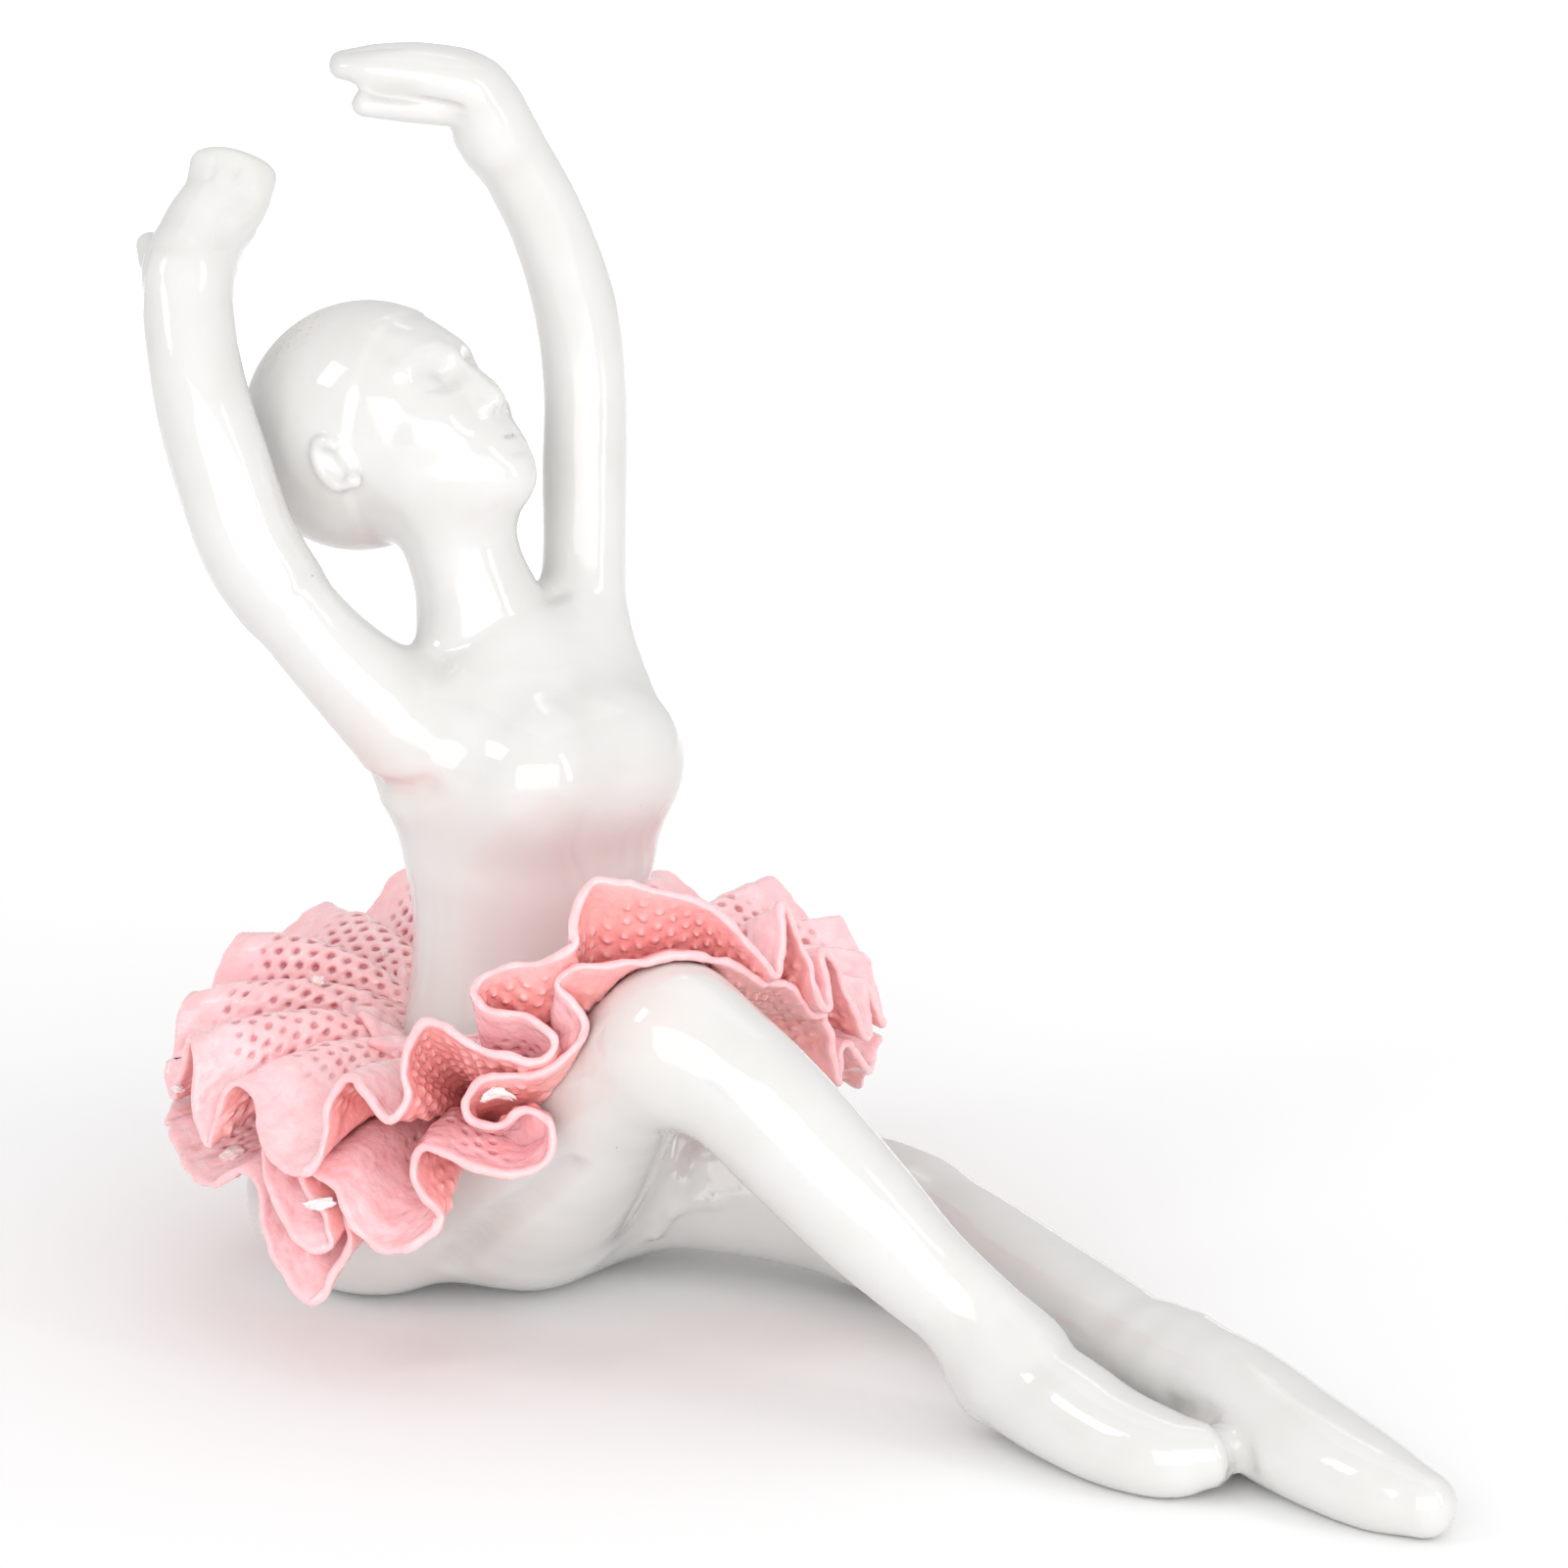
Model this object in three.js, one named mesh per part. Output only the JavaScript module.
import * as THREE from 'three';

// Seated dancer in glazed porcelain, arms raised, with a two-tier lace skirt.
// Lengths are millimetres. While the shape is made, +X runs along the legs,
// +Y is the dancer's left and +Z is up.

// Sizes that drive the shape
const BODY_STEP = 1.5;
const LACE_STEP = 0.86;
const BODY_TRIANGLES = 4500;
const LACE_TRIANGLES = 5200;
const LACE_HALF_THICKNESS = 0.75;
const LACE_CLEARANCE = 1.45;
const FUSED_GAP = 0.5;
const FINE_SEAM = 0.8;
const SHOULDER_TOP = 87;
const INSTEP = 50;
const SEAM_FADE = 8;
const LACE_ARCH_UPPER = 3.0;
const LACE_ARCH_LOWER = 3.0;
const LACE_EVEN_RISE = 3.0;
const LACE_HOLLOW = 0.6;
const LACE_FOLD_EASE = 0.65;
const TIER_CLEARANCE = 1.6;
const SKIRT_AXIS_X = -38;
const WAIST_REACH = 18;
const SEAT_X = -45;
const SEAT_Z = -1.3;
const REST_SLOPE = 0.0168;
const ORIGIN_X = 8.91;
const ORIGIN_Y = -0.96;
const BODY_LOW = [-100, -48, -6];
const BODY_HIGH = [114, 48, 166];
const LACE_LOW = [-90, -51, 3];
const LACE_HIGH = [14, 51, 72];

// Head: centre, facing direction, crown direction
const HEAD_CENTRE = [-59, 0, 110.5];
const FACING = [0.767, 0.056, 0.643];
const CROWN = [-0.646, 0.015, 0.769];

// Sideways directions of the limb sections
const CHEST_SIDE = [0.39, 0.92, 0.03];
const PELVIS_SIDE = [0.15, 0.98, 0];
const WAIST_SIDE = [0.27, 0.95, 0.015];
const LEVEL_SIDE = [0, 1, 0];
const UPRIGHT_SIDE = [0, 0, 1];

// Stations: x, y, z, half width along the side direction, half depth
const TORSO = [
  [-39, 1, 12.1, 16.1, 14.1], [-40.1, 1, 27.2, 17.8, 14.3], [-39.1, 0, 46.3, 15.9, 11.9],
  [-38.1, 0, 57.3, 17.5, 13.3], [-38.5, 0, 68.3, 18.7, 13.2], [-41.2, 0.5, 79.3, 15.2, 9.6],
  [-44.6, 0.5, 84.1, 8, 7],
];
const TORSO_SIDES = [
  PELVIS_SIDE, PELVIS_SIDE, WAIST_SIDE, CHEST_SIDE, CHEST_SIDE, CHEST_SIDE, CHEST_SIDE,
];
const NECK = [
  [-43, 0, 77, 8.5, 8], [-45.5, 0, 87, 7.6, 7.4], [-48, -0.5, 96, 7.2, 7.2],
  [-51, -1, 104, 8, 8],
];
const NEAR_ARM = [
  [-45.3, -12, 73.2, 8.3, 8.3], [-50.8, -15.2, 79.1, 7.1, 6.9], [-58.5, -18.8, 87.6, 5.8, 5.8],
  [-65.8, -21, 97.5, 6.1, 6.1], [-70.3, -21, 107.6, 6.1, 6], [-75.2, -18.9, 118, 5.8, 5.4],
  [-79.7, -14.6, 127.4, 5.8, 5.1], [-80.8, -12.5, 130.9, 5.4, 4.7],
];
const NEAR_HAND = [
  [-80.6, -13.2, 130.1, 5.3, 4.9], [-81, -9, 134.5, 5.4, 4.3], [-80.8, -4.6, 137.7, 5.5, 3.5],
  [-81.1, -2.2, 141.1, 5.7, 2.7],
];
const NEAR_THUMB = [
  [-84, -12.8, 127.6, 2.3, 2.2], [-86.9, -11.4, 130.3, 2.2, 2.2], [-88.7, -10.1, 131.9, 1.8, 1.9],
];
const FAR_ARM = [
  [-37.5, 11, 76.1, 7.5, 7.7], [-38.8, 13.5, 86, 5.9, 5.9], [-40.1, 16, 93, 5.5, 5.4],
  [-42, 19, 102.6, 5.6, 5.5], [-43.3, 21.2, 112.2, 5.5, 5.4], [-44.7, 21.4, 122.3, 5.5, 5.4],
  [-46.8, 19.1, 132.7, 5.2, 5], [-48.9, 15.5, 141.1, 4.9, 4.9], [-51.3, 12.3, 147.4, 4.8, 4.7],
];
const FAR_HAND = [
  [-51, 13, 146.1, 5.3, 4.5], [-52.7, 10.6, 152.1, 5.6, 4.6], [-57.6, 6.5, 154.7, 5.6, 3.7],
  [-62.5, 3, 155.5, 5, 2.9], [-66, 0.8, 155.7, 3.8, 1.8],
];
const FAR_THUMB = [
  [-54.3, 7, 150.4, 2.4, 2.6], [-58.8, 2.3, 151.2, 2.2, 2.4], [-61.7, -0.5, 151.5, 1.8, 2.1],
];
const NEAR_THIGH = [
  [-33.4, -8, 17.2, 15, 14.5], [-25, -14, 24.7, 13.9, 13.1], [-13.4, -19.5, 36.3, 11.4, 10.8],
  [-2, -24, 44.2, 9, 8.6],
];
const NEAR_SHIN = [
  [-0.8, -24, 45.8, 8.4, 9.1], [8, -23.5, 41, 8.1, 8.7], [15.9, -22.5, 34.5, 7.8, 8.5],
  [24.5, -21.5, 27.1, 7.3, 7.8], [32.1, -20, 20.4, 6.3, 6.7], [39.1, -19, 15.6, 5.5, 6.1],
  [43.8, -19, 12.4, 5.2, 5.6],
];
const NEAR_FOOT = [
  [41.9, -18.5, 7.5, 4.7, 5.9], [46.3, -19.6, 8.2, 5.7, 6.8], [52.5, -21.4, 7.6, 6.5, 6.9],
  [61.3, -23.4, 6, 6.3, 6.1], [69.2, -24, 5.5, 5.7, 5.3], [74, -22.8, 6.2, 4.2, 4.1],
];
const FAR_THIGH = [
  [-33.2, 12, 15, 13, 13.5], [-21.9, 15, 14, 12.5, 12.5], [-7.5, 17, 11.3, 10, 9.9],
  [8.1, 17, 9.6, 8.8, 9],
];
const FAR_SHIN = [
  [4.2, 17, 10.5, 8.8, 8.6], [16.2, 14, 10.2, 8.2, 8.1], [33, 6.5, 9.4, 7.7, 7.5],
  [47.9, -0.5, 8.8, 6.9, 7], [60.8, -6.5, 7.7, 6.5, 6.6],
];
const FAR_FOOT = [
  [58.6, -5, 8.6, 6.6, 6.7], [70.2, -10.5, 8.5, 7.2, 7.4], [82.4, -15.5, 7.1, 7.4, 6.6],
  [94.8, -19.5, 5.7, 6.1, 5.6], [102.2, -21, 5.3, 3.8, 4.1],
];

// Gathered upper edge of each tier: angle in degrees, height
const UPPER_WAIST = [
  [-150, 33], [-110, 32], [-80, 29.5], [-55, 33], [-30, 41], [0, 41], [40, 37], [90, 34],
  [150, 33],
];
const LOWER_WAIST = [
  [-150, 26.5], [-90, 24.5], [-60, 26.5], [-40, 33], [-20, 37.5], [0, 34], [40, 28.5],
  [90, 26.5], [150, 26.5],
];

// Free hem of each tier: angle in degrees, radius, height
const UPPER_FOLDS = [
  [-152, 47, 27], [-147, 46.5, 24], [-140, 45.5, 28], [-133, 45, 35.5], [-127, 45, 34.5],
  [-124, 46, 28], [-119.5, 46, 25], [-120.5, 44.5, 28.5], [-119, 42.5, 32.5],
  [-114, 41.3, 32], [-106, 44, 28], [-98, 45.5, 26], [-92.5, 44.5, 29], [-94, 42, 34],
  [-92, 41, 38], [-88, 41.5, 38.5], [-81, 43.5, 35], [-77.5, 42.5, 38], [-79, 41, 42.5],
  [-76.5, 40.5, 46.5], [-72, 41, 47], [-62, 43, 44], [-55, 44, 43.8], [-52.5, 43.5, 46.5],
  [-57, 41.5, 48.3], [-63.5, 40, 48.5], [-66, 40, 51.5], [-62.5, 40, 54.2],
  [-55, 41, 55.5], [-49.5, 42, 58], [-48.5, 42, 62], [-45, 42, 66], [-37, 42.5, 64.5],
  [-29, 43, 62], [-23, 43.5, 59.5], [-17.5, 44.5, 54], [-14, 45, 51], [-11, 43.5, 56],
  [-9, 42.3, 59], [-6, 43.5, 54], [-4, 44.8, 46], [-1, 44.5, 44.5], [0.5, 43, 50],
  [4, 43, 49], [8.5, 44, 42.5], [13, 44.8, 37], [18, 44.3, 37.5], [23, 43, 41.5],
  [29.5, 45, 34], [36, 42.8, 41.7], [43, 43.8, 38], [49, 44.4, 36], [54, 42.8, 41.8],
  [60, 44, 39], [66.5, 44.8, 35.5], [72, 43.8, 40], [77.5, 42.5, 42.8],
];
const UPPER_FAR_WAVES = { from: 89, to: 142, waves: 3, crest: [42.3, 41.3], trough: [44.5, 35] };
const UPPER_BACK_FOLDS = [
  [148.5, 43, 40.8], [157.5, 44.7, 33.5], [163, 43.2, 38.5], [170, 44, 37],
  [178.5, 45, 33.5], [184.5, 43.4, 38.9], [189.5, 44, 37.8], [192, 45.6, 31.5],
  [196.5, 45.4, 31.5], [202.5, 44.9, 35], [206.5, 45.9, 33],
];
const LOWER_FOLDS = [
  [-143, 46.7, 21], [-131, 45.8, 19], [-119, 45.3, 19.5], [-115, 43, 22],
  [-110, 42.5, 21], [-106, 44, 16.5], [-101, 45.5, 13], [-94, 45.5, 9.8],
  [-90.5, 43.8, 13.5], [-88.5, 42.8, 18], [-93, 41, 22], [-101, 40.5, 26], [-107, 41.5, 28],
  [-107, 43.5, 26.5], [-103, 45, 22.5], [-98.5, 46, 19], [-93, 46.3, 17.4], [-90.2, 45.3, 17.6],
  [-92.5, 44.3, 20.5], [-97.5, 43.5, 24], [-96.5, 43, 26], [-91.5, 43, 25], [-88, 44, 22],
  [-84, 44.7, 19], [-79, 45, 18.5],
  [-74, 45.5, 20], [-71.5, 44.5, 23], [-75.5, 43, 26], [-77, 42, 29.5], [-73, 43, 31.5],
  [-66, 44.5, 30], [-59, 45, 29], [-53.5, 44, 32], [-53.5, 43, 35.5], [-57.5, 42, 37],
  [-63, 42, 34.5], [-67, 41, 35], [-67.5, 41, 38], [-64, 42, 40.8], [-56.5, 43, 43],
  [-49, 43, 45.5], [-47.5, 43, 48], [-50, 42, 50.5], [-52, 41.3, 53], [-49, 42, 55],
  [-42, 43, 55], [-30, 44, 55.3], [-17, 43.5, 52.5], [-6.5, 43, 48], [1, 43, 43],
  [4, 43.3, 37], [5.5, 44, 32.5], [8, 43, 33.5], [9.5, 42.7, 36.5], [14, 43, 35],
  [20, 43.8, 30.5], [25, 43.6, 29], [31, 44.4, 32], [37, 43.6, 29.5], [44, 43.6, 25.5],
];
const LOWER_FAR_WAVES = { from: 52, to: 190, waves: 6, crest: [43, 26], trough: [44, 20.5] };
const LOWER_BACK_FOLDS = [[199, 45, 25], [208, 46.5, 22]];

const dot = (a, b) => a[0] * b[0] + a[1] * b[1] + a[2] * b[2];
const sub = (a, b) => [a[0] - b[0], a[1] - b[1], a[2] - b[2]];
const cross = (a, b) => [
  a[1] * b[2] - a[2] * b[1],
  a[2] * b[0] - a[0] * b[2],
  a[0] * b[1] - a[1] * b[0],
];
const unit = (a) => {
  const length = Math.hypot(a[0], a[1], a[2]);
  return [a[0] / length, a[1] / length, a[2] / length];
};
const clamp = (x, low, high) => Math.min(Math.max(x, low), high);

// Catmull-Rom value between q and r
function spline(p, q, r, s, f) {
  const linear = (r - p) * f;
  const square = (2 * p - 5 * q + 4 * r - s) * f * f;
  const cube = (3 * q - p - 3 * r + s) * f * f * f;
  return 0.5 * (2 * q + linear + square + cube);
}

function softUnion(a, b, k) {
  if (k <= 0) return Math.min(a, b);
  const overlap = Math.max(k - Math.abs(a - b), 0) / k;
  return Math.min(a, b) - overlap * overlap * k * 0.25;
}

function ellipsoidBound(x, y, z, a, b, c) {
  const k0 = Math.hypot(x / a, y / b, z / c) + 1e-6;
  const k1 = Math.hypot(x / (a * a), y / (b * b), z / (c * c)) + 1e-6;
  return (k0 * (k0 - 1)) / k1;
}

// A limb is an oval section carried along a curve through its stations
class Limb {
  constructor(rows, sides) {
    const full = rows.map((row, i) => [...row, ...unit(Array.isArray(sides[0]) ? sides[i] : sides)]);
    const mirror = (a, b) => a.map((value, i) => 2 * value - b[i]);
    this.rows = [mirror(full[0], full[1]), ...full, mirror(full.at(-1), full.at(-2))];
    this.spans = rows.length - 1;
    this.caps = [Math.min(rows[0][3], rows[0][4]), Math.min(rows.at(-1)[3], rows.at(-1)[4])];
    this.samples = [];
    const steps = this.spans * 24;
    for (let i = 0; i <= steps; i += 1) {
      const row = this.at((this.spans * i) / steps);
      const ahead = this.at(Math.min((this.spans * i) / steps + 0.01, this.spans));
      const behind = this.at(Math.max((this.spans * i) / steps - 0.01, 0));
      const along = unit(sub(ahead, behind));
      const lean = dot(row.slice(5, 8), along);
      const side = unit(row.slice(5, 8).map((value, j) => value - lean * along[j]));
      const cap = i * 2 < steps ? this.caps[0] : this.caps[1];
      this.samples.push({ row, along, side, normal: cross(along, side), cap });
    }
    this.reach = Math.max(...rows.map((row) => Math.max(row[3], row[4]))) * 1.15;
  }

  at(t) {
    const i = clamp(Math.floor(t), 0, this.spans - 1);
    const [p, q, r, s] = this.rows.slice(i, i + 4);
    return p.map((value, j) => spline(value, q[j], r[j], s[j], t - i));
  }

  box(margin) {
    const low = [0, 1, 2].map((j) => Math.min(...this.samples.map((s) => s.row[j])));
    const high = [0, 1, 2].map((j) => Math.max(...this.samples.map((s) => s.row[j])));
    const grow = this.reach + margin;
    return [low.map((value) => value - grow), high.map((value) => value + grow)];
  }

  distance(x, y, z) {
    let best = Infinity;
    let pick = 0;
    for (let i = 0; i < this.samples.length; i += 1) {
      const { row } = this.samples[i];
      const d = (x - row[0]) ** 2 + (y - row[1]) ** 2 + (z - row[2]) ** 2;
      if (d < best) {
        best = d;
        pick = i;
      }
    }
    const { row, along, side, normal, cap } = this.samples[pick];
    const offset = [x - row[0], y - row[1], z - row[2]];
    const end = pick === 0 || pick === this.samples.length - 1;
    const beyond = end ? dot(offset, along) : 0;
    return ellipsoidBound(dot(offset, side), dot(offset, normal), beyond, row[3], row[4], cap);
  }
}

class Ellipsoid {
  constructor(centre, radii, axes = [[1, 0, 0], [0, 1, 0], [0, 0, 1]]) {
    this.centre = centre;
    this.radii = radii;
    this.axes = axes;
  }

  box(margin) {
    const grow = Math.max(...this.radii) + margin;
    return [this.centre.map((value) => value - grow), this.centre.map((value) => value + grow)];
  }

  distance(x, y, z) {
    const offset = sub([x, y, z], this.centre);
    const [u, v, w] = this.axes.map((axis) => dot(offset, axis));
    return ellipsoidBound(u, v, w, ...this.radii);
  }
}

class Field {
  constructor(low, high, step) {
    this.low = low;
    this.step = step;
    this.count = [0, 1, 2].map((j) => Math.ceil((high[j] - low[j]) / step) + 1);
    this.values = new Float32Array(this.count[0] * this.count[1] * this.count[2]).fill(30);
  }

  index(i, j, k) {
    return (i * this.count[1] + j) * this.count[2] + k;
  }

  each(low, high, change) {
    const from = low.map((value, j) => Math.max(Math.floor((value - this.low[j]) / this.step), 0));
    const to = high.map((value, j) => {
      const last = Math.ceil((value - this.low[j]) / this.step);
      return Math.min(last, this.count[j] - 1);
    });
    for (let i = from[0]; i <= to[0]; i += 1) {
      for (let j = from[1]; j <= to[1]; j += 1) {
        for (let k = from[2]; k <= to[2]; k += 1) {
          const at = this.index(i, j, k);
          const x = this.low[0] + i * this.step;
          const y = this.low[1] + j * this.step;
          const z = this.low[2] + k * this.step;
          this.values[at] = change(this.values[at], x, y, z);
        }
      }
    }
  }

  join(shape, blend) {
    const widest = Math.max(blend(0, 0), blend(0, 200), 3);
    const [low, high] = shape.box(widest);
    this.each(low, high, (value, x, y, z) => softUnion(value, shape.distance(x, y, z), blend(x, z)));
  }

  sample(x, y, z) {
    const at = [x, y, z].map((value, j) => (value - this.low[j]) / this.step);
    const base = at.map((value, j) => clamp(Math.floor(value), 0, this.count[j] - 2));
    let sum = 0;
    for (let corner = 0; corner < 8; corner += 1) {
      const bits = [corner & 1, (corner >> 1) & 1, corner >> 2];
      let weight = 1;
      for (let j = 0; j < 3; j += 1) {
        const f = clamp(at[j] - base[j], 0, 1);
        weight *= bits[j] ? f : 1 - f;
      }
      sum += weight * this.values[this.index(base[0] + bits[0], base[1] + bits[1], base[2] + bits[2])];
    }
    return sum;
  }

  slope(x, y, z) {
    const h = this.step;
    return [
      (this.sample(x + h, y, z) - this.sample(x - h, y, z)) / (2 * h),
      (this.sample(x, y + h, z) - this.sample(x, y - h, z)) / (2 * h),
      (this.sample(x, y, z + h) - this.sample(x, y, z - h)) / (2 * h),
    ];
  }
}

// Every grid cube is six tetrahedra along its main diagonal
function skin(field) {
  const { values, count, step, low } = field;
  const stride = [count[1] * count[2], count[2], 1];
  const orders = [[0, 1, 2], [1, 2, 0], [2, 0, 1], [0, 2, 1], [2, 1, 0], [1, 0, 2]];
  const tetrahedra = orders.map((order, which) => {
    const bits = [0, 1 << order[0], (1 << order[0]) | (1 << order[1]), 7];
    return which < 3 ? bits : [bits[0], bits[2], bits[1], bits[3]];
  });
  const shift = [];
  for (let bits = 0; bits < 8; bits += 1) {
    shift.push((bits & 1) * stride[0] + ((bits >> 1) & 1) * stride[1] + (bits >> 2) * stride[2]);
  }
  const ordered = {
    1: [0, 1, 2, 3], 2: [1, 0, 3, 2], 4: [2, 3, 0, 1], 8: [3, 2, 1, 0],
    3: [0, 1, 2, 3], 5: [0, 2, 3, 1], 9: [0, 3, 1, 2], 6: [1, 2, 0, 3], 10: [1, 3, 2, 0],
    12: [2, 3, 0, 1],
  };
  const points = [];
  const faces = [];
  const known = new Map();
  const place = (node) => [
    low[0] + Math.floor(node / stride[0]) * step,
    low[1] + (Math.floor(node / stride[1]) % count[1]) * step,
    low[2] + (node % count[2]) * step,
  ];
  const vertex = (base, bitsA, bitsB) => {
    const a = base + shift[Math.min(bitsA, bitsB)];
    const b = base + shift[Math.max(bitsA, bitsB)];
    const key = a * 8 + (bitsA ^ bitsB);
    if (!known.has(key)) {
      const t = clamp(values[a] / (values[a] - values[b]), 0.003, 0.997);
      const from = place(a);
      const to = place(b);
      known.set(key, points.length / 3);
      points.push(...from.map((value, j) => value + t * (to[j] - value)));
    }
    return known.get(key);
  };
  for (let i = 0; i < count[0] - 1; i += 1) {
    for (let j = 0; j < count[1] - 1; j += 1) {
      for (let k = 0; k < count[2] - 1; k += 1) {
        const base = field.index(i, j, k);
        let inside = 0;
        for (let bits = 0; bits < 8; bits += 1) inside += values[base + shift[bits]] < 0 ? 1 : 0;
        if (inside === 0 || inside === 8) continue;
        for (const tetrahedron of tetrahedra) {
          let mask = 0;
          tetrahedron.forEach((bits, corner) => {
            if (values[base + shift[bits]] < 0) mask |= 1 << corner;
          });
          if (mask === 0 || mask === 15) continue;
          const size = [1, 2, 4, 8].filter((bit) => mask & bit).length;
          const solid = size < 3 ? mask : 15 - mask;
          const [a, b, c, d] = ordered[solid].map((corner) => tetrahedron[corner]);
          const ring = size === 2
            ? [vertex(base, a, c), vertex(base, a, d), vertex(base, b, d), vertex(base, b, c)]
            : [vertex(base, a, b), vertex(base, a, c), vertex(base, a, d)];
          if (size === 3) ring.reverse();
          faces.push([ring[0], ring[1], ring[2]]);
          if (size === 2) faces.push([ring[0], ring[2], ring[3]]);
        }
      }
    }
  }
  return { points, faces };
}

class Queue {
  constructor() {
    this.items = [];
  }

  push(item) {
    const { items } = this;
    let at = items.length;
    items.push(item);
    while (at > 0) {
      const up = (at - 1) >> 1;
      if (items[up].cost <= item.cost) break;
      items[at] = items[up];
      at = up;
    }
    items[at] = item;
  }

  pop() {
    const { items } = this;
    const top = items[0];
    const last = items.pop();
    if (items.length > 0) {
      let at = 0;
      for (;;) {
        let down = 2 * at + 1;
        if (down >= items.length) break;
        if (down + 1 < items.length && items[down + 1].cost < items[down].cost) down += 1;
        if (items[down].cost >= last.cost) break;
        items[at] = items[down];
        at = down;
      }
      items[at] = last;
    }
    return top;
  }
}

// Merges short edges where the surface changes least until the goal is met
function thin({ points, faces }, goal) {
  const position = Float64Array.from(points);
  const total = position.length / 3;
  const quadric = new Float64Array(total * 10);
  const around = Array.from({ length: total }, () => []);
  const live = new Uint8Array(faces.length).fill(1);
  const gone = new Uint8Array(total);
  const turn = new Int32Array(total);
  const at = (v) => [position[3 * v], position[3 * v + 1], position[3 * v + 2]];
  const outward = (a, b, c) => cross(sub(b, a), sub(c, a));
  faces.forEach((face, f) => {
    const corner = face.map(at);
    const normal = outward(...corner);
    const area = Math.hypot(...normal);
    if (area > 1e-12) {
      const [a, b, c] = normal.map((value) => value / area);
      const d = -dot([a, b, c], corner[0]);
      const plane = [a * a, a * b, a * c, a * d, b * b, b * c, b * d, c * c, c * d, d * d];
      for (const v of face) {
        for (let q = 0; q < 10; q += 1) quadric[v * 10 + q] += plane[q] * area;
      }
    }
    face.forEach((v) => around[v].push(f));
  });
  const best = (u, v) => {
    const q = [];
    for (let i = 0; i < 10; i += 1) q.push(quadric[u * 10 + i] + quadric[v * 10 + i]);
    const a = at(u);
    const b = at(v);
    const middle = a.map((value, j) => (value + b[j]) / 2);
    const span = Math.hypot(...sub(a, b));
    const error = ([x, y, z]) => {
      const xx = x * (q[0] * x + 2 * q[1] * y + 2 * q[2] * z + 2 * q[3]);
      const yy = y * (q[4] * y + 2 * q[5] * z + 2 * q[6]);
      const zz = z * (q[7] * z + 2 * q[8]);
      return Math.max(xx + yy + zz + q[9], 0);
    };
    const weight = q[0] + q[4] + q[7];
    const pull = 1e-3 * weight + 1e-9;
    const m = [q[0] + pull, q[1], q[2], q[4] + pull, q[5], q[7] + pull];
    const right = [0, 1, 2].map((j) => pull * middle[j] - q[[3, 6, 8][j]]);
    const c0 = m[3] * m[5] - m[4] * m[4];
    const c1 = m[2] * m[4] - m[1] * m[5];
    const c2 = m[1] * m[4] - m[2] * m[3];
    const det = m[0] * c0 + m[1] * c1 + m[2] * c2;
    let spot = middle;
    if (det > 1e-14 * weight ** 3) {
      const c4 = m[0] * m[5] - m[2] * m[2];
      const c5 = m[1] * m[2] - m[0] * m[4];
      const c7 = m[0] * m[3] - m[1] * m[1];
      spot = [
        (c0 * right[0] + c1 * right[1] + c2 * right[2]) / det,
        (c1 * right[0] + c4 * right[1] + c5 * right[2]) / det,
        (c2 * right[0] + c5 * right[1] + c7 * right[2]) / det,
      ];
      if (Math.hypot(...sub(spot, middle)) > span * 1.5) spot = middle;
    }
    return { cost: error(spot) + 1e-4 * span * span * span, spot };
  };
  const queue = new Queue();
  const enter = (u, v) => {
    const { cost, spot } = best(u, v);
    queue.push({ cost, spot, u, v, turnU: turn[u], turnV: turn[v] });
  };
  const neighbours = (v) => {
    const ring = new Set();
    for (const f of around[v]) for (const w of faces[f]) if (w !== v) ring.add(w);
    return ring;
  };
  const flips = (v, other, spot) => around[v].some((f) => {
    if (faces[f].includes(other)) return false;
    const before = outward(...faces[f].map(at));
    const after = outward(...faces[f].map((w) => (w === v ? spot : at(w))));
    const sizeBefore = Math.hypot(...before);
    const sizeAfter = Math.hypot(...after);
    if (sizeBefore < 1e-7) return false;
    return sizeAfter < 1e-6 || dot(before, after) < 0.25 * sizeBefore * sizeAfter;
  });
  faces.forEach((face) => {
    for (let i = 0; i < 3; i += 1) {
      const u = face[i];
      const v = face[(i + 1) % 3];
      if (u < v) enter(u, v);
    }
  });
  let left = faces.length;
  while (left > goal && queue.items.length > 0) {
    const { u, v, spot, turnU, turnV } = queue.pop();
    if (gone[u] || gone[v] || turn[u] !== turnU || turn[v] !== turnV) continue;
    const ringU = neighbours(u);
    const ringV = neighbours(v);
    let shared = 0;
    for (const w of ringU) if (ringV.has(w)) shared += 1;
    if (shared !== 2 || ringU.size + ringV.size < 8) continue;
    if (flips(u, v, spot) || flips(v, u, spot)) continue;
    for (const f of around[v]) {
      if (faces[f].includes(u)) {
        live[f] = 0;
        left -= 1;
        for (const w of faces[f]) if (w !== v) around[w] = around[w].filter((g) => g !== f);
      } else {
        faces[f][faces[f].indexOf(v)] = u;
        around[u].push(f);
      }
    }
    gone[v] = 1;
    around[v] = [];
    position.set(spot, 3 * u);
    for (let q = 0; q < 10; q += 1) quadric[u * 10 + q] += quadric[v * 10 + q];
    turn[u] += 1;
    for (const w of neighbours(u)) enter(Math.min(u, w), Math.max(u, w));
  }
  return { position, faces: faces.filter((face, f) => live[f]) };
}

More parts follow.
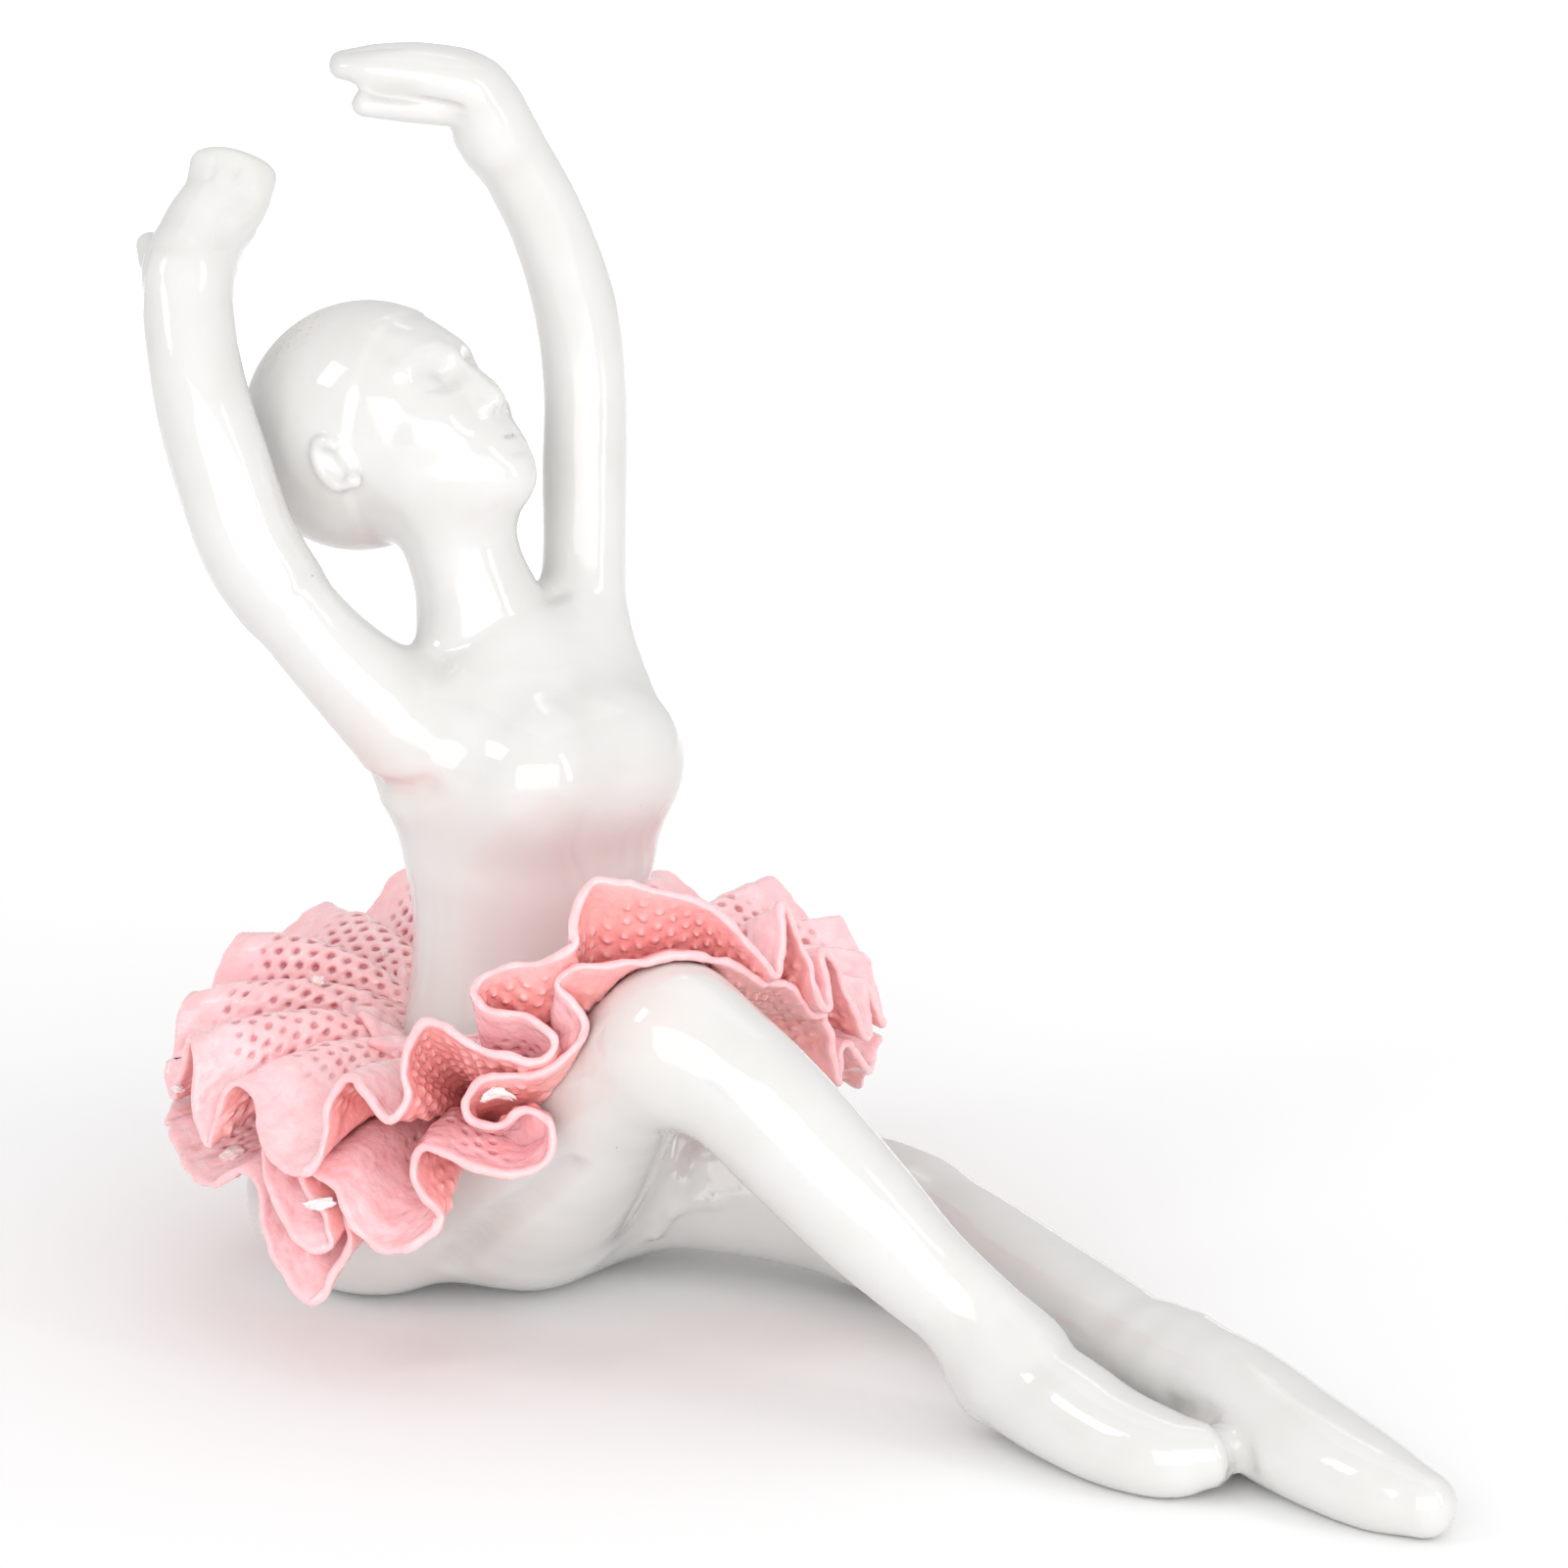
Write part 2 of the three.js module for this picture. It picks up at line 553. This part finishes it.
// Solid body of the dancer
const facing = unit(FACING);
const crown = unit(CROWN.map((value, j) => value - dot(CROWN, facing) * facing[j]));
const leftward = cross(crown, facing);
const headAxes = [facing, leftward, crown];
const inHead = (forward, left, up) => HEAD_CENTRE.map(
  (value, j) => value + forward * facing[j] + left * leftward[j] + up * crown[j],
);
const even = (k) => () => k;
const shoulderOnly = (k) => (x, z) => (
  k - (k - FINE_SEAM) * clamp((z - SHOULDER_TOP) / SEAM_FADE, 0, 1)
);
const heelOnly = (k) => (x) => k - (k - FINE_SEAM) * clamp((x - INSTEP) / SEAM_FADE, 0, 1);
const BODY_PARTS = [
  [new Limb(TORSO, TORSO_SIDES), even(0)],
  [new Ellipsoid([-55, -14, 11], [16.6, 13, 12.6]), even(6)],
  [new Ellipsoid([-52, 13, 11.2], [15, 13, 12.8]), even(8)],
  [new Limb(NEAR_THIGH, LEVEL_SIDE), even(7)],
  [new Limb(FAR_THIGH, LEVEL_SIDE), even(8)],
  [new Limb(NEAR_SHIN, LEVEL_SIDE), even(5)],
  [new Limb(FAR_SHIN, LEVEL_SIDE), even(4)],
  [new Limb(FAR_FOOT, LEVEL_SIDE), even(4)],
  [new Limb(NEAR_FOOT, LEVEL_SIDE), heelOnly(7)],
  [new Limb(NECK, CHEST_SIDE), even(5)],
  [new Ellipsoid([-30.3, -9.3, 70.5], [7.8, 8, 8]), even(9)],
  [new Ellipsoid([-27, 3.5, 70.3], [7.8, 8.2, 8]), even(8)],
  [new Ellipsoid(inHead(-3.8, 0, 2), [16.8, 13, 15.3], headAxes), even(3)],
  [new Ellipsoid(inHead(4.4, 0, -4.7), [9.6, 9.4, 12.6], headAxes), even(5)],
  [new Ellipsoid(inHead(8, 0, -12.6), [5.6, 5.6, 5.2], headAxes), even(5)],
  [new Ellipsoid(inHead(14.2, 0, -5.2), [2.6, 1.8, 3.4], headAxes), even(1.6)],
  [new Ellipsoid(inHead(-2.5, 12, -3), [2.4, 1.5, 3.7], headAxes), even(1)],
  [new Ellipsoid(inHead(-2.5, -12, -3), [2.4, 1.5, 3.7], headAxes), even(1)],
  [new Limb(NEAR_ARM, [0, 1, 0.2]), shoulderOnly(6)],
  [new Limb(FAR_ARM, LEVEL_SIDE), shoulderOnly(6)],
  [new Limb(NEAR_HAND, [0.83, 0.37, -0.4]), even(2.5)],
  [new Limb(FAR_HAND, [0.53, -0.85, 0]), even(2.5)],
  [new Limb(NEAR_THUMB, UPRIGHT_SIDE), even(1)],
  [new Limb(FAR_THUMB, UPRIGHT_SIDE), even(0.6)],
];
const body = new Field(BODY_LOW, BODY_HIGH, BODY_STEP);
for (const [shape, blend] of BODY_PARTS) body.join(shape, blend);

// Height above the table: the seat and both feet are ground flat on it
const level = Math.hypot(1, REST_SLOPE);
const aboveTable = (x, z) => (z - SEAT_Z - REST_SLOPE * (x - SEAT_X)) / level;
const solid = new Field(BODY_LOW, BODY_HIGH, BODY_STEP);
solid.each(BODY_LOW, BODY_HIGH, (value, x, y, z) => {
  const inBody = body.sample(x, y, z);
  return Math.max(inBody, -aboveTable(x, z)) || 1e-6;
});

// Lace: a thin gathered sheet from the waist out to its folded hem
function waves({ from, to, waves: count, crest, trough }) {
  const rows = [];
  for (let i = 0; i < 2 * count; i += 1) {
    const angle = from + ((to - from) * i) / (2 * count - 1);
    rows.push([angle, ...(i % 2 ? crest : trough)]);
  }
  return rows;
}

function closedCurve(rows, steps) {
  const row = (i) => {
    const lap = Math.floor(i / rows.length);
    const [angle, radius, height] = rows[i - lap * rows.length];
    return [angle + 360 * lap, radius, height];
  };
  const curve = [];
  for (let i = 0; i < rows.length; i += 1) {
    const [p, q, r, s] = [row(i - 1), row(i), row(i + 1), row(i + 2)];
    for (let step = 0; step < steps; step += 1) {
      curve.push(p.map((value, j) => spline(value, q[j], r[j], s[j], step / steps)));
    }
  }
  return curve;
}

function heightAt(table, angle) {
  const turned = ((((angle + 180) % 360) + 360) % 360) - 180;
  const rows = [[table.at(-1)[0] - 360, table.at(-1)[1]], ...table, [table[0][0] + 360, table[0][1]]];
  const i = rows.findIndex((row) => row[0] > turned);
  const [a, b] = [rows[i - 1], rows[i]];
  return a[1] + ((b[1] - a[1]) * (turned - a[0])) / (b[0] - a[0]);
}

function polar(angle, radius, height) {
  const turned = (angle * Math.PI) / 180;
  return [SKIRT_AXIS_X + radius * Math.cos(turned), radius * Math.sin(turned), height];
}

function waistPoint(table, angle) {
  const height = heightAt(table, angle);
  let radius = 4;
  while (radius < WAIST_REACH && body.sample(...polar(angle, radius, height)) < LACE_CLEARANCE) {
    radius += 0.25;
  }
  return polar(angle, radius, height);
}

function clearOfBody(point) {
  let [x, y, z] = point;
  for (let i = 0; i < 8; i += 1) {
    const lack = LACE_CLEARANCE - body.sample(x, y, z);
    if (lack <= 0) break;
    const away = unit(body.slope(x, y, z));
    const move = Math.min(lack, 1.5);
    [x, y, z] = [x + away[0] * move, y + away[1] * move, z + away[2] * move];
  }
  return [x, y, z];
}

function averagedRows(curve, reach) {
  return curve.map((row, i) => {
    const sum = [0, 0, 0];
    let weights = 0;
    for (let step = -reach; step <= reach; step += 1) {
      const at = i + step;
      const lap = Math.floor(at / curve.length);
      const weight = 1 + Math.cos((Math.PI * step) / (reach + 1));
      const [angle, radius, height] = curve[at - lap * curve.length];
      sum[0] += weight * (angle + 360 * lap);
      sum[1] += weight * radius;
      sum[2] += weight * height;
      weights += weight;
    }
    return sum.map((value) => value / weights);
  });
}

// The folds are deep soon after the waist. A sheet that rises to its hem is hollow,
// and one that hangs is arched.
function tier(folds, waist, arch) {
  const curve = closedCurve(folds, 6);
  const middle = averagedRows(curve, 24);
  const rows = 12;
  return curve.map(([angle, radius, height], i) => {
    const inner = waistPoint(waist, middle[i][0]);
    const evened = polar(...middle[i]);
    const hem = polar(angle, radius, height);
    const rise = Math.max(0, middle[i][2] - inner[2] - LACE_EVEN_RISE);
    const bow = arch - LACE_HOLLOW * rise;
    const line = [];
    for (let step = 0; step <= rows; step += 1) {
      const t = step / rows;
      const fold = t ** LACE_FOLD_EASE;
      const [x, y, z] = inner.map((value, j) => {
        return value + (evened[j] - value) * t + (hem[j] - evened[j]) * fold;
      });
      line.push(clearOfBody([x, y, z + bow * Math.sin(Math.PI * t)]));
    }
    return line;
  });
}

// The lower tier sags where it would touch the upper one
function belowUpperTier(line) {
  return line.map(([x, y, z]) => {
    let low = z;
    while (low > z - 4 && upperTier.sample(x, y, low) < TIER_CLEARANCE) low -= 0.4;
    return low < z ? clearOfBody([x, y, low]) : [x, y, z];
  });
}

function waistband() {
  const lines = [];
  for (let angle = -180; angle < 180; angle += 4) {
    const top = waistPoint(UPPER_WAIST, angle);
    const bottom = waistPoint(LOWER_WAIST, angle);
    const line = [];
    for (let step = 0; step <= 4; step += 1) {
      line.push(clearOfBody(bottom.map((value, j) => value + ((top[j] - value) * step) / 4)));
    }
    lines.push(line);
  }
  return lines;
}

function triangleDistance(point, a, b, c) {
  const ab = sub(b, a);
  const ac = sub(c, a);
  const ap = sub(point, a);
  const d1 = dot(ab, ap);
  const d2 = dot(ac, ap);
  const d3 = dot(ab, sub(point, b));
  const d4 = dot(ac, sub(point, b));
  const d5 = dot(ab, sub(point, c));
  const d6 = dot(ac, sub(point, c));
  const va = d3 * d6 - d5 * d4;
  const vb = d5 * d2 - d1 * d6;
  const vc = d1 * d4 - d3 * d2;
  let v;
  let w;
  if (d1 <= 0 && d2 <= 0) [v, w] = [0, 0];
  else if (d3 >= 0 && d4 <= d3) [v, w] = [1, 0];
  else if (d6 >= 0 && d5 <= d6) [v, w] = [0, 1];
  else if (vc <= 0 && d1 >= 0 && d3 <= 0) [v, w] = [d1 / (d1 - d3), 0];
  else if (vb <= 0 && d2 >= 0 && d6 <= 0) [v, w] = [0, d2 / (d2 - d6)];
  else if (va <= 0 && d4 - d3 >= 0 && d5 - d6 >= 0) {
    w = (d4 - d3) / (d4 - d3 + d5 - d6);
    v = 1 - w;
  } else [v, w] = [vb / (va + vb + vc), vc / (va + vb + vc)];
  return Math.hypot(
    ap[0] - v * ab[0] - w * ac[0],
    ap[1] - v * ab[1] - w * ac[1],
    ap[2] - v * ab[2] - w * ac[2],
  );
}

function stampSheet(field, lines) {
  const reach = LACE_HALF_THICKNESS + 2 * LACE_STEP;
  const stamp = (a, b, c) => {
    const low = a.map((value, j) => Math.min(value, b[j], c[j]) - reach);
    const high = a.map((value, j) => Math.max(value, b[j], c[j]) + reach);
    field.each(low, high, (value, x, y, z) => {
      return Math.min(value, triangleDistance([x, y, z], a, b, c) - LACE_HALF_THICKNESS);
    });
  };
  lines.forEach((line, i) => {
    const next = lines[(i + 1) % lines.length];
    for (let step = 0; step < line.length - 1; step += 1) {
      stamp(line[step], next[step], next[step + 1]);
      stamp(line[step], next[step + 1], line[step + 1]);
    }
  });
}

const upperHem = [...UPPER_FOLDS, ...waves(UPPER_FAR_WAVES), ...UPPER_BACK_FOLDS];
const lowerHem = [...LOWER_FOLDS, ...waves(LOWER_FAR_WAVES), ...LOWER_BACK_FOLDS];
const lace = new Field(LACE_LOW, LACE_HIGH, LACE_STEP);
const upperTier = new Field(LACE_LOW, LACE_HIGH, LACE_STEP);
stampSheet(upperTier, tier(upperHem, UPPER_WAIST, LACE_ARCH_UPPER));
lace.values.set(upperTier.values);
stampSheet(lace, tier(lowerHem, LOWER_WAIST, LACE_ARCH_LOWER).map(belowUpperTier));
stampSheet(lace, waistband());
lace.each(LACE_LOW, LACE_HIGH, (value, x, y, z) => {
  return Math.max(value, FUSED_GAP - body.sample(x, y, z)) || 1e-6;
});

function largestShell({ points, faces }) {
  const owner = Array.from({ length: points.length / 3 }, (_, v) => v);
  const find = (v) => {
    let root = v;
    while (owner[root] !== root) root = owner[root];
    while (owner[v] !== root) [v, owner[v]] = [owner[v], root];
    return root;
  };
  for (const [a, b, c] of faces) {
    owner[find(b)] = find(a);
    owner[find(c)] = find(a);
  }
  const size = new Map();
  for (const [a] of faces) size.set(find(a), (size.get(find(a)) || 0) + 1);
  const [keep] = [...size.entries()].sort((a, b) => b[1] - a[1])[0];
  return { points, faces: faces.filter(([a]) => find(a) === keep) };
}

// Turns the shape level on the table and moves its origin under the middle
function settle(x, y, z) {
  const along = (x - SEAT_X + REST_SLOPE * (z - SEAT_Z)) / level + SEAT_X;
  const up = aboveTable(x, z);
  return [along - ORIGIN_X, y - ORIGIN_Y, Math.abs(up) < 0.12 ? 0 : up];
}

function makeMesh(name, shell, goal, finish) {
  const { position, faces } = thin(largestShell(shell), goal);
  const used = new Map();
  const coordinates = [];
  const indices = faces.flat().map((v) => {
    if (!used.has(v)) {
      used.set(v, used.size);
      coordinates.push(...settle(position[3 * v], position[3 * v + 1], position[3 * v + 2]));
    }
    return used.get(v);
  });
  const geometry = new THREE.BufferGeometry();
  geometry.setAttribute('position', new THREE.Float32BufferAttribute(coordinates, 3));
  geometry.setIndex(indices);
  geometry.computeVertexNormals();
  const mesh = new THREE.Mesh(geometry, new THREE.MeshStandardMaterial(finish));
  mesh.name = name;
  return mesh;
}

const part = new THREE.Group();
part.name = 'porcelain_dancer';
part.add(makeMesh('figure', skin(solid), BODY_TRIANGLES, {
  color: 0xf3f0ec,
  roughness: 0.12,
  metalness: 0,
}));
part.add(makeMesh('lace_skirt', skin(lace), LACE_TRIANGLES, {
  color: 0xf4a3aa,
  roughness: 0.18,
  metalness: 0,
}));

export default part;
